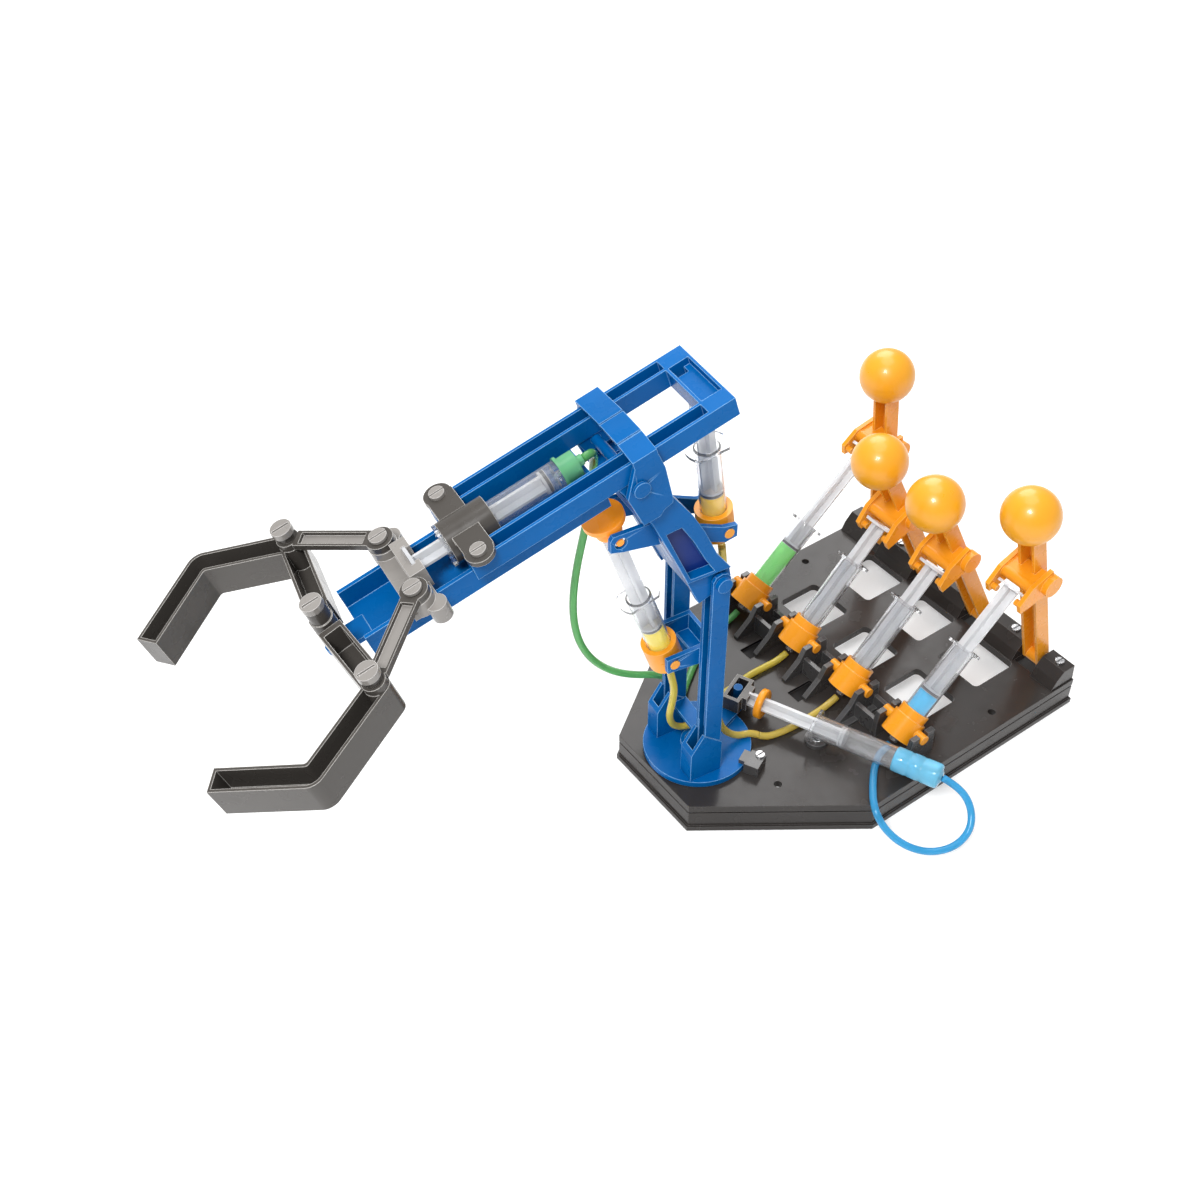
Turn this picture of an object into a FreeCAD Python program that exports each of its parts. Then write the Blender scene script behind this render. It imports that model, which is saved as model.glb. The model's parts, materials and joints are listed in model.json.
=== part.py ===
import FreeCAD, Part
import math
import os
import re
import Sketcher
from FreeCAD import Placement, Rotation, Vector

# Hydraulic arm kit, millimetres. +Z is up and the origin is on the turntable axis at table level.
# +X points from the turntable to the control levers. Circuit 1 is the +Y one, circuit 4 the -Y one.
# The turntable, the upper arm and the forearm are laid out in their own frames, in which forward is -X.

DIMS = {
    # base: front edge, diagonals, straight sides
    "deck_top": 18.6, "deck_under": 14.0, "base_front": -30.0, "base_corner": 50.0, "base_rear": 204.0,
    "front_half": 31.0, "side_half": 88.0, "front_mitre": 0.515, "side_mitre": 0.32,
    "seam_inset": 1.5, "seam_low": 13.0, "skirt_flare": 1.2, "skirt_foot": 3.0, "skirt_wall": 3.0,
    "near_win_a": 111.3, "near_win_b": 139.2, "far_win_a": 154.3, "far_win_b": 185.6,
    "mid_win_half": 14.1, "side_win_a": 28.9, "side_win_b": 59.7, "win_corner": 3.0,
    # the four syringe and lever stations
    "inner_row": 21.4, "outer_row": 64.2, "pin_x": 92.0, "pin_z": 33.0, "pin_radius": 2.9,
    "saddle_inner": 11.2, "saddle_outer": 14.2,
    "axle_x": 198.0, "axle_z": 22.0, "axle_radius": 2.0, "block_top": 30.0, "slot_half": 6.9,
    "lever_len": 130.0, "knob_radius": 15.5, "post_half": 5.75, "post_depth": 4.5, "post_wall": 1.8,
    "yoke_up": 83.0, "yoke_out": 15.5,
    "tilt_one": -7.0, "tilt_two": -27.5, "tilt_three": -28.0, "tilt_four": -17.0,
    # five-millilitre syringes, measured from the trunnion along the barrel
    "barrel_radius": 6.45, "bore_radius": 5.65, "seal_radius": 5.55, "master_flange": 51.0,
    "slave_flange": 44.0, "rod_len": 68.0, "lift_rod": 74.0, "reach_rod": 50.0, "swing_rod": 62.0,
    "grip_rod": 64.5,
    "nozzle_len": 5.0, "nozzle_radius": 2.5,
    "collar_radius": 9.5, "thumb_radius": 8.8,
    # turntable and tower, forward is -X
    "arm_yaw": -7.0, "disc_radius": 29.5, "disc_low": 18.9, "disc_top": 22.5, "crank_x": 34.1,
    "crank_y": 13.0, "crank_z": 30.0, "spindle_radius": 6.0,
    "post_outer": 22.0, "post_inner": 13.0, "post_front": 9.7, "wall": 2.0, "hip_x": -5.0, "hip_z": 160.0,
    # slave pivots in the turntable frame
    "lift_low_x": -24.0, "lift_low_z": 106.0, "lift_high_x": -54.5, "lift_high_z": 199.0,
    "reach_low_x": 3.5, "reach_low_z": 180.5, "reach_high_x": -7.0, "reach_high_z": 254.0,
    "swing_x": 55.0, "swing_y": -36.0,
    # forearm: origin at its rear top edge, nose down
    "fore_x": -4.6, "fore_z": 266.7, "fore_tilt": 17.2, "fore_half": 22.8, "rail_wide": 9.0,
    "rail_deep": 10.0, "rail_len": 132.0, "elbow_along": 53.5, "elbow_drop": 13.2,
    "beam_half": 16.5, "beam_top": -10.0, "beam_floor": -22.0, "beam_start": 66.0, "beam_end": 184.5,
    # gripper, distances along the forearm from its rear edge
    "pivot_along": 195.2, "link_pin_along": 190.0, "link_pin_side": 49.0, "finger_top": -2.0,
    "finger_low": -19.0, "finger_wide": 11.0, "finger_wall": 1.4, "knee_along": 229.0, "knee_side": 70.0,
    "tip_along": 264.0, "tip_side": 44.0, "cross_along": 157.0, "cross_side": 18.3,
    "gripper_axis": -5.0, "barrel_start": 78.0, "thumb_along": 151.0,
    "tube_radius": 2.0,
}

document = FreeCAD.newDocument("hydraulic_arm_kit")
sheet = document.addObject("Spreadsheet::Sheet", "dims")
for row, (alias, value) in enumerate(DIMS.items(), 1):
    sheet.set("A%d" % row, str(value))
    sheet.setAlias("A%d" % row, alias)
document.recompute()

pieces = []
ALONG = {
    "x": Rotation(Vector(0, 1, 0), 90),
    "y": Rotation(Vector(1, 0, 0), -90),
    "z": Rotation(),
}


def ref(text):
    """Expression on the sheet: every dimension's name gets the sheet's name before it."""
    return re.sub(r"[a-z_]+", lambda m: "dims." + m.group(0) if m.group(0) in DIMS else m.group(0),
                  str(text))


def dim(text):
    """Number that an expression gives."""
    return float(sheet.evalExpression(ref(text)))


def bind(target, prop, text):
    target.setExpression(prop, ref(text))


def place(target, x, y, z):
    bind(target, ".Placement.Base.x", x)
    bind(target, ".Placement.Base.y", y)
    bind(target, ".Placement.Base.z", z)
    return target


def cuboid(x_range, y_range, z_range):
    box = document.addObject("Part::Box", "box")
    for prop, (low, high) in zip(("Length", "Width", "Height"), (x_range, y_range, z_range)):
        bind(box, prop, "(%s)-(%s)" % (high, low))
    return place(box, x_range[0], y_range[0], z_range[0])


def rod(axis, radius, low, high, u=0, v=0):
    """Cylinder along an axis; u and v are its centre on the other two axes, in X, Y, Z order."""
    piece = document.addObject("Part::Cylinder", "rod")
    bind(piece, "Radius", radius)
    bind(piece, "Height", "(%s)-(%s)" % (high, low))
    piece.Placement = Placement(Vector(), ALONG[axis])
    base = {"x": (low, u, v), "y": (u, low, v), "z": (u, v, low)}[axis]
    return place(piece, *base)


def ball(radius, x, y, z):
    piece = document.addObject("Part::Sphere", "ball")
    bind(piece, "Radius", radius)
    piece.Placement = Placement(Vector(), Rotation(Vector(1, 1, 0), 50))
    return place(piece, x, y, z)


def fuse(*shapes):
    result = document.addObject("Part::MultiFuse", "fuse")
    result.Shapes = list(shapes)
    result.Refine = True
    return result


def group(*shapes):
    """Separate solids that share one node."""
    result = document.addObject("Part::Compound", "group")
    result.Links = list(shapes)
    return result


def cut(base, *tools):
    result = document.addObject("Part::Cut", "cut")
    result.Base = base
    result.Tool = tools[0] if len(tools) == 1 else fuse(*tools)
    return result


def prism(plane, points, low, high):
    """Body padded from a sketch of straight lines. XY rises along +Z, XZ along +Y, YZ along +X."""
    body = document.addObject("PartDesign::Body", "prism")
    sketch = body.newObject("Sketcher::SketchObject", "outline")
    origin = next(item for item in body.Origin.OriginFeatures if item.Role == plane + "_Plane")
    sketch.AttachmentSupport = (origin, [""])
    sketch.MapMode = "FlatFace"
    corners = [Vector(dim(a), dim(b), 0) for a, b in points]
    count = len(points)
    for i in range(count):
        sketch.addGeometry(Part.LineSegment(corners[i], corners[(i + 1) % count]), False)
    for i in range(count):
        sketch.addConstraint(Sketcher.Constraint("Coincident", i, 2, (i + 1) % count, 1))
    for i, (a, b) in enumerate(points):
        for kind, text, value in (("DistanceX", a, corners[i].x), ("DistanceY", b, corners[i].y)):
            number = sketch.addConstraint(Sketcher.Constraint(kind, -1, 1, i, 1, value))
            sketch.setExpression("Constraints[%d]" % number, ref(text))
    pad = body.newObject("PartDesign::Pad", "pad")
    pad.Profile = sketch
    bind(pad, "Length", "(%s)-(%s)" % (high, low))
    shift = {"XY": (0, 0, low), "XZ": (0, high, 0), "YZ": (low, 0, 0)}[plane]
    return place(body, *shift)


def part(name, shape, placement=None):
    """Names a finished sub-part and puts it in its place."""
    shape.Label = name
    if placement is not None:
        shape.Placement = placement.multiply(shape.Placement)
    pieces.append(shape)
    return shape


def turn_about_z(degrees):
    return Placement(Vector(), Rotation(Vector(0, 0, 1), degrees))


def in_plane(x, z, degrees):
    """Frame at (x, 0, z) whose Z axis leans by an angle from vertical towards +X."""
    return Placement(Vector(x, 0, z), Rotation(Vector(0, 1, 0), degrees))


ARM = turn_about_z(dim("arm_yaw"))
FOREARM = ARM.multiply(in_plane(dim("fore_x"), dim("fore_z"), -dim("fore_tilt")))
STATIONS = {1: "outer_row", 2: "inner_row", 3: "-inner_row", 4: "-outer_row"}
TILTS = {1: "tilt_one", 2: "tilt_two", 3: "tilt_three", 4: "tilt_four"}
SIDES = (1, -1)


# Base

def outline(grow):
    """Outline of the base, moved outwards by a distance."""
    front = "base_front-(%s)" % grow
    rear = "base_rear+(%s)" % grow
    corner = "base_corner-side_mitre*(%s)" % grow
    near = "front_half+front_mitre*(%s)" % grow
    side = "side_half+(%s)" % grow
    return [(front, "-(%s)" % near), (corner, "-(%s)" % side), (rear, "-(%s)" % side),
            (rear, side), (corner, side), (front, near)]


def window(x_low, x_high, y_low, y_high):
    """Rectangular hole with round corners."""
    low, high = "deck_under-1", "deck_top+1"
    corner = "win_corner"
    shapes = [cuboid((x_low + "+win_corner", x_high + "-win_corner"), (y_low, y_high), (low, high)),
              cuboid((x_low, x_high), (y_low + "+win_corner", y_high + "-win_corner"), (low, high))]
    for x in (x_low + "+win_corner", x_high + "-win_corner"):
        for y in (y_low + "+win_corner", y_high + "-win_corner"):
            shapes.append(rod("z", corner, low, high, x, y))
    return fuse(*shapes)


def base_deck():
    rows = [("-mid_win_half", "mid_win_half"), ("side_win_a", "side_win_b"), ("-side_win_b", "-side_win_a")]
    tools = []
    for x_low, x_high in (("near_win_a", "near_win_b"), ("far_win_a", "far_win_b")):
        for y_low, y_high in rows:
            tools.append(window(x_low, x_high, y_low, y_high))
    for row in STATIONS.values():
        tools.append(cuboid(("axle_x-9.5", "axle_x+5.5"), (row + "-slot_half", row + "+slot_half"),
                            ("deck_under-1", "deck_top+1")))
    for x, y in ((148, 78), (18, 47)):
        for side in SIDES:
            tools.append(rod("z", 2.2, "deck_under-1", "deck_top+1", x, side * y))
    tools.append(rod("z", "spindle_radius+0.3", "deck_under-1", "deck_top+1"))
    part("base_deck", cut(prism("XY", outline("0"), "deck_under", "deck_top"), *tools))


def base_skirt():
    """Open ring under the deck: a flared foot, a wall and the inset that makes the dark seam line."""
    levels = [("0", "skirt_foot", "skirt_flare"), ("skirt_foot", "seam_low", "0"),
              ("seam_low", "deck_under", "-seam_inset")]
    rings = [prism("XY", outline(grow), low, high) for low, high, grow in levels]
    hollow = prism("XY", outline("-skirt_wall-seam_inset"), "-1", "deck_under+1")
    part("base_skirt", cut(fuse(*rings), hollow))


def lever_housing():
    """Blocks between the levers with sloping fronts, and the low wall that joins them."""
    profile = [("axle_x-12", "deck_top"), ("base_rear-0.5", "deck_top"), ("base_rear-1.5", "block_top"),
               ("axle_x-4", "block_top"), ("axle_x-9", "deck_top+6")]
    spans = [("-mid_win_half+0.1", "mid_win_half-0.1"), ("28.4", "57.1"), ("-57.1", "-28.4"),
             ("71.3", "side_half-0.8"), ("-side_half+0.8", "-71.3")]
    blocks = [prism("XZ", profile, low, high) for low, high in spans]
    wall = cuboid(("base_rear-1.7", "base_rear-0.3"), ("-side_half+1", "side_half-1"),
                  ("deck_top", "deck_top+3"))
    bore = rod("y", "axle_radius+0.05", "-side_half+3", "side_half-3", "axle_x", "axle_z")
    part("lever_housing", cut(fuse(wall, *blocks), bore))


def lever_axle():
    part("lever_axle", rod("y", "axle_radius", "-side_half+3.2", "side_half-3.2", "axle_x", "axle_z"))


def slotted_head(radius, low, high, x, y):
    """Screw head with a straight slot."""
    slot = cuboid(("%s-(%s)" % (x, radius), "%s+(%s)" % (x, radius)), ("%s-0.5" % y, "%s+0.5" % y),
                  ("%s-0.8" % high, "%s+1" % high))
    return cut(rod("z", radius, low, high, x, y), slot)


def base_screws():
    heads = []
    for side in SIDES:
        for along in (47, 80):
            heads.append(slotted_head("2.6", "block_top", "block_top+1.2", "198", "%s" % (side * along)))
    heads.append(slotted_head("2.4", "25.6", "26.8", "19.2", "-30.2"))
    part("base_screws", group(*heads))


def syringe_rack():
    """Upright saddle plates with U notches for the trunnion pins, tied together by cross ribs,
    and the socket for the turning syringe's upright pin."""
    shapes = []
    for number, row in STATIONS.items():
        edge, ramp = ("pin_x-9.5", "pin_x-9.5") if number == 4 else ("pin_x-12", "pin_x-22")
        profile = [(ramp, "deck_top"), ("pin_x+9", "deck_top"), ("pin_x+8", "pin_z+3.5"),
                   ("pin_x-8", "pin_z+3.5"), (edge, "pin_z-4"), (ramp, "deck_top+1.5")]
        for low, high in (("saddle_inner", "saddle_outer"), ("-saddle_outer", "-saddle_inner")):
            plate = prism("XZ", profile, "%s+%s" % (row, low), "%s+%s" % (row, high))
            span = ("%s+%s-1" % (row, low), "%s+%s+1" % (row, high))
            notch = fuse(rod("y", "pin_radius+0.1", span[0], span[1], "pin_x", "pin_z"),
                         cuboid(("pin_x-pin_radius-0.1", "pin_x+pin_radius+0.1"), span, ("pin_z", "pin_z+6")))
            shapes.append(cut(plate, notch))
    tie = ("-outer_row-saddle_outer", "outer_row+saddle_outer")
    shapes.append(cuboid(("pin_x+5.5", "pin_x+8.5"), tie, ("deck_top", "deck_top+2.6")))
    for low in ("-outer_row+saddle_outer-1", "-inner_row+saddle_outer-1", "inner_row+saddle_outer-1"):
        gap = (low, low + "+inner_row*2-saddle_outer*2+2")
        shapes.append(cuboid(("pin_x-9", "pin_x-6.5"), gap, ("deck_top", "pin_z-3")))
        shapes.append(cuboid(("pin_x+5.5", "pin_x+8"), gap, ("deck_top", "pin_z-6")))
    shapes.append(rod("z", 6.5, "deck_top", "deck_top+2.4", "swing_x", "swing_y"))
    shapes.append(cuboid(("swing_x", "pin_x+7"), ("swing_y-3", "swing_y+3"), ("deck_top", "deck_top+1.6")))
    socket = rod("z", 3.05, "deck_top+0.4", "deck_top+5", "swing_x", "swing_y")
    part("syringe_rack", cut(fuse(*shapes), socket))


def turntable_clip():
    """Clip that holds the disc's rim down."""
    block = cuboid(("disc_radius+0.7", "disc_radius+9"), (-5.5, 5.5), ("deck_top", "25.6"))
    lip = cuboid(("disc_radius-3", "disc_radius+1"), (-4, 4), ("disc_top+0.3", "25.6"))
    part("turntable_clip", fuse(block, lip), turn_about_z(-64))


# Levers and syringes

def lever(number):
    """Channel-section lever with its knob, hub and the yoke that grips the plunger's thumb plate.

    Laid out upright: the axle is at the origin, forward is -X."""
    rear = cuboid(("post_depth-post_wall", "post_depth"), ("-post_half", "post_half"), (0, "lever_len-10"))
    shapes = [rear]
    for low, high in (("-post_half", "-post_half+post_wall"), ("post_half-post_wall", "post_half")):
        shapes.append(cuboid(("-post_depth", "post_depth"), (low, high), (0, "lever_len-10")))
    shapes.append(rod("y", 4, "-post_half", "post_half"))
    shapes.append(ball("knob_radius", 0, 0, "lever_len"))
    arm = [("post_depth-2", "yoke_up-8"), ("post_depth-2", "yoke_up+8"), ("-yoke_out+3", "yoke_up+7"),
           ("-yoke_out-7", "yoke_up+1"), ("-yoke_out-7", "yoke_up-5"), ("-yoke_out", "yoke_up-6")]
    for low, high in (("thumb_radius+1", "thumb_radius+3.6"), ("-thumb_radius-3.6", "-thumb_radius-1")):
        shapes.append(prism("XZ", arm, low, high))
    shapes.append(rod("y", 3.6, "-thumb_radius-2", "thumb_radius+2", "-yoke_out+5.3", "yoke_up+2.6"))
    shapes.append(cuboid(("-yoke_out+5.3", 1), ("-thumb_radius-2", "thumb_radius+2"),
                         ("yoke_up-1", "yoke_up+6")))
    for low, high in (("6.4", "thumb_radius+2"), ("-thumb_radius-2", "-6.4")):
        shapes.append(rod("y", 1.9, low, high, "-yoke_out-4.2", "yoke_up-2.2"))
    shapes.append(rod("y", 6.2, "-thumb_radius-7", "-thumb_radius-2", -1, "yoke_up"))
    bore = rod("y", "axle_radius+0.05", "-post_half-1", "post_half+1")
    frame = in_plane(dim("axle_x"), dim("axle_z"), dim(TILTS[number]))
    frame.Base.y = dim(STATIONS[number])
    part("lever_%d" % number, cut(fuse(*shapes), bore), frame)


def syringe_frame(number):
    """Frame of a master syringe and its length from trunnion to thumb plate."""
    tilt = math.radians(dim(TILTS[number]))
    up, out = dim("yoke_up"), dim("yoke_out")
    thumb = Vector(dim("axle_x") + up * math.sin(tilt) - out * math.cos(tilt), 0,
                   dim("axle_z") + up * math.cos(tilt) + out * math.sin(tilt))
    start = Vector(dim("pin_x"), 0, dim("pin_z"))
    run = thumb - start
    frame = in_plane(start.x, start.z, math.degrees(math.atan2(run.x, run.z)))
    frame.Base.y = dim(STATIONS[number])
    return frame, run.Length


def barrel(flange):
    """Clear barrel along Z with a flat finger flange; the trunnion is at the origin."""
    outside = fuse(rod("z", "barrel_radius", -6, flange), rod("z", "nozzle_radius", "-6-nozzle_len", -6),
                   cut(rod("z", 10.5, flange, flange + "+1.6"),
                       cuboid((-11, 11), (7.2, 12), (flange + "-1", flange + "+3")),
                       cuboid((-11, 11), (-12, -7.2), (flange + "-1", flange + "+3"))))
    return cut(outside, rod("z", "bore_radius", -4, flange + "+3"), rod("z", 1.2, "-7-nozzle_len", -3))


def collar():
    """Clip-on collar with the trunnion pins on its sides."""
    sleeve = fuse(rod("z", "collar_radius", -8, 5), rod("z", "collar_radius-1.3", 5, 10),
                  rod("y", "pin_radius", "-saddle_outer-0.8", "saddle_outer+0.8"))
    return cut(sleeve, rod("z", "barrel_radius+0.05", -6.05, 11), rod("z", "nozzle_radius+0.05", -9, -5))


def plunger(reach, length, thumb):
    """Plunger whose thumb plate is at height reach; its rod has a cross section."""
    low = "%s-(%s)" % (reach, length)
    shapes = [cuboid((-4.6, 4.6), (-0.7, 0.7), (low, reach)), cuboid((-0.7, 0.7), (-4.6, 4.6), (low, reach)),
              rod("z", "seal_radius-1", low + "-3", low), rod("z", "seal_radius", low + "-3", low + "-1.8"),
              rod("z", "seal_radius", low + "-1.2", low)]
    if thumb:
        shapes.append(rod("z", thumb, reach + "-0.8", reach + "+0.8"))
    return fuse(*shapes)


def master(number):
    frame, reach = syringe_frame(number)
    part("master_%d_barrel" % number, barrel("master_flange"), frame)
    part("master_%d_collar" % number, collar(), frame)
    part("master_%d_plunger" % number, plunger(str(round(reach, 3)), "rod_len", "thumb_radius"), frame)


def slave_frame(name):
    """Frame along a slave syringe that stands in the arm's plane, and its pin-to-pin length."""
    low = Vector(dim(name + "_low_x"), 0, dim(name + "_low_z"))
    high = Vector(dim(name + "_high_x"), 0, dim(name + "_high_z"))
    run = high - low
    return ARM.multiply(in_plane(low.x, low.z, math.degrees(math.atan2(run.x, run.z)))), run.Length


def slave_cup():
    """Orange cup around the barrel's foot, with side pins."""
    body = fuse(rod("z", 9.2, -9, 7), rod("y", 2.6, -13.6, 13.6))
    return cut(body, rod("z", "barrel_radius+0.05", -6.05, 8), rod("z", "nozzle_radius+0.05", -10, -5))


def lift_syringe():
    """Slave under the front of the upper arm; its plunger ends in a round cap with side pins."""
    frame, reach = slave_frame("lift")
    reach = str(round(reach, 3))
    part("lift_barrel", barrel("slave_flange"), frame)
    part("lift_cup", slave_cup(), frame)
    part("lift_plunger", plunger(reach, "lift_rod", ""), frame)
    cap = fuse(rod("z", 10.2, reach + "+5", reach + "+8"), rod("z", 6.5, reach + "-3", reach + "+5"),
               rod("y", 1.9, -12.6, 12.6, 0, reach))
    part("lift_cap", cut(cap, rod("z", 5.2, reach + "-4", reach)), frame)


def reach_syringe():
    """Slave behind the tower; it pushes the forearm's rear end."""
    frame, reach = slave_frame("reach")
    reach = str(round(reach, 3))
    part("reach_barrel", barrel("slave_flange"), frame)
    part("reach_cup", slave_cup(), frame)
    head = fuse(plunger(reach + "-4", "reach_rod", ""), rod("z", 6, reach + "-5", reach + "-3.6"),
                cuboid((-2.4, 2.4), (-2.4, 2.4), (reach + "-4", reach)),
                rod("y", 1.9, -10.6, 10.6, 0, reach))
    part("reach_plunger", head, frame)


def swing_frame():
    """Frame along the syringe that lies on the base, and its length from pivot to crank pin."""
    pin = ARM.multVec(Vector(dim("crank_x"), dim("crank_y"), 0))
    start = Vector(dim("swing_x"), dim("swing_y"), dim("crank_z"))
    run = Vector(pin.x, pin.y, start.z) - start
    heading = math.degrees(math.atan2(run.y, run.x))
    turn = Rotation(Vector(0, 0, 1), heading).multiply(Rotation(Vector(0, 1, 0), 90))
    return Placement(start, turn), run.Length


def swing_syringe():
    """Slave that lies on the base and turns the turntable."""
    frame, reach = swing_frame()
    reach = str(round(reach, 3))
    tube = cut(rod("z", "barrel_radius", -58, 2),
               rod("z", "bore_radius", -56, 3), rod("z", 1.2, -60, -55))
    flange = cut(rod("z", 9.5, 0.4, 2), rod("z", "bore_radius", 0, 3),
                 cuboid(("barrel_radius", 12), (-11, 11), (0, 3)), cuboid((-12, "-barrel_radius"), (-11, 11), (0, 3)))
    nozzle = cut(rod("z", 6, -70, -58), rod("z", 1.2, -71, -57))
    pivot = cut(rod("x", 3, "barrel_radius-1", "crank_z-deck_top-0.6"), rod("z", "barrel_radius-0.2", -5, 5))
    part("swing_barrel", fuse(tube, flange, nozzle, pivot), frame)
    part("swing_plunger", plunger(reach + "-7", "swing_rod-7", ""), frame)
    jaw = fuse(cuboid((-4.6, 4.6), (-9.6, 9.6), (reach + "-5.2", reach + "+5.2")),
               cuboid((-4.6, 4.6), (-5.4, 5.4), (reach + "-8", reach)))
    slot = cuboid((-6, 6), (-7.6, 7.6), (reach + "-3.2", reach + "+3.2"))
    room = cuboid((-4.7, 4.7), (-0.8, 0.8), (reach + "-9", reach + "-6.9"))
    cross = cuboid((-0.8, 0.8), (-4.7, 4.7), (reach + "-9", reach + "-6.9"))
    part("swing_clip", cut(jaw, slot, room, cross), frame)


# Turntable and tower, in the turntable frame

def turntable_disc():
    lug = prism("XY", [("crank_x-18", "crank_y-14"), ("crank_x+1", "crank_y-5.5"), ("crank_x+1", "crank_y+5.5"),
                       ("crank_x-18", "crank_y+2")], "disc_top-1", "disc_top+2.4")
    relief = rod("z", "disc_radius+20", "disc_top-2", "disc_top+0.9")
    arm = fuse(cut(lug, cut(relief, rod("z", "disc_radius-2", "disc_top-3", "disc_top+2"))),
               rod("z", 5.5, "disc_top+0.9", "disc_top+2.4", "crank_x", "crank_y"),
               rod("z", 2.5, "disc_top+0.9", "crank_z+5.5", "crank_x", "crank_y"))
    ring = cut(rod("z", 9, "disc_top-1", "disc_top+1.6"), rod("z", 6.6, "disc_top", "disc_top+3"))
    shapes = [rod("z", "disc_radius", "disc_low", "disc_top"), ring, arm,
              rod("z", "spindle_radius", "deck_under-2", "disc_low+1"),
              rod("z", "spindle_radius+2", "deck_under-2", "deck_under-0.3")]
    part("turntable_disc", fuse(*shapes), ARM)


def channel_post(side):
    """Tower post: a channel open to the front, standing in its shoe."""
    outer, inner = side * 22, side * 13
    low, high = min(outer, inner), max(outer, inner)
    web = cuboid((-2, 0), (low, high), ("disc_top", "hip_z-9"))
    shapes = [web]
    for edge in (low, high - 2):
        flange = [("-post_front", "disc_top"), (0, "disc_top"), (0, "hip_z+1.5"), (-1.6, "hip_z+4.2"),
                  (-4.8, "hip_z+5.2"), (-8.2, "hip_z+4.2"), ("-post_front", "hip_z+1.5")]
        shapes.append(prism("XZ", flange, edge, edge + 2))
    shoe = [(-18, "disc_top"), (0.8, "disc_top"), (0.8, 44), (-10.5, 54), (-18, 42)]
    sleeve = cut(prism("XZ", shoe, low - 0.6, high + 0.6),
                 cuboid(("-post_front", 0), (low, high), ("disc_top", 60)))
    return shapes + [sleeve]


def tower_frame():
    """Two posts, the cross webs between them and the fork plates for the two upright slaves."""
    shapes = channel_post(1) + channel_post(-1)
    shapes.append(cuboid((-9, 0), (-13.2, 13.2), ("hip_z-15", "hip_z-13")))
    shapes.append(cuboid((-2, 0), (-13.2, 13.2), ("hip_z-15", "hip_z-4")))
    shapes.append(cuboid((-9, 0), (-13.2, 13.2), ("lift_low_z-7", "lift_low_z-5")))
    shapes.append(cuboid((-2, 0), (-13.2, 13.2), ("lift_low_z-7", "lift_low_z+5")))
    shapes.append(cuboid((-9, 0), (-13.2, 13.2), (44, 46)))
    for low, high in ((10.4, 13), (-13, -10.4)):
        fork = [(-1, "lift_low_z+5"), (-1, "lift_low_z-7"), ("lift_low_x-4", "lift_low_z-4.5"),
                ("lift_low_x-4.5", "lift_low_z+4.5")]
        shapes.append(prism("XZ", fork, low, high))
    bores = [rod("y", 2.65, -14, 14, "lift_low_x", "lift_low_z"),
             rod("y", 2.55, -24, 24, "hip_x", "hip_z")]
    part("tower_frame", cut(fuse(*shapes), *bores), ARM)


def shoulder_pin():
    part("shoulder_pin", fuse(rod("y", 2.5, -23.6, 23.6, "hip_x", "hip_z"),
                              rod("y", 4, -25.2, -22.3, "hip_x", "hip_z"),
                              rod("y", 4, 22.3, 25.2, "hip_x", "hip_z")), ARM)


# Upper arm

def elbow_point():
    """Elbow pin's centre in the turntable frame."""
    tilt = math.radians(dim("fore_tilt"))
    along, drop = dim("elbow_along"), dim("elbow_drop")
    return (dim("fore_x") - along * math.cos(tilt) + drop * math.sin(tilt),
            dim("fore_z") - along * math.sin(tilt) - drop * math.cos(tilt))


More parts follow.
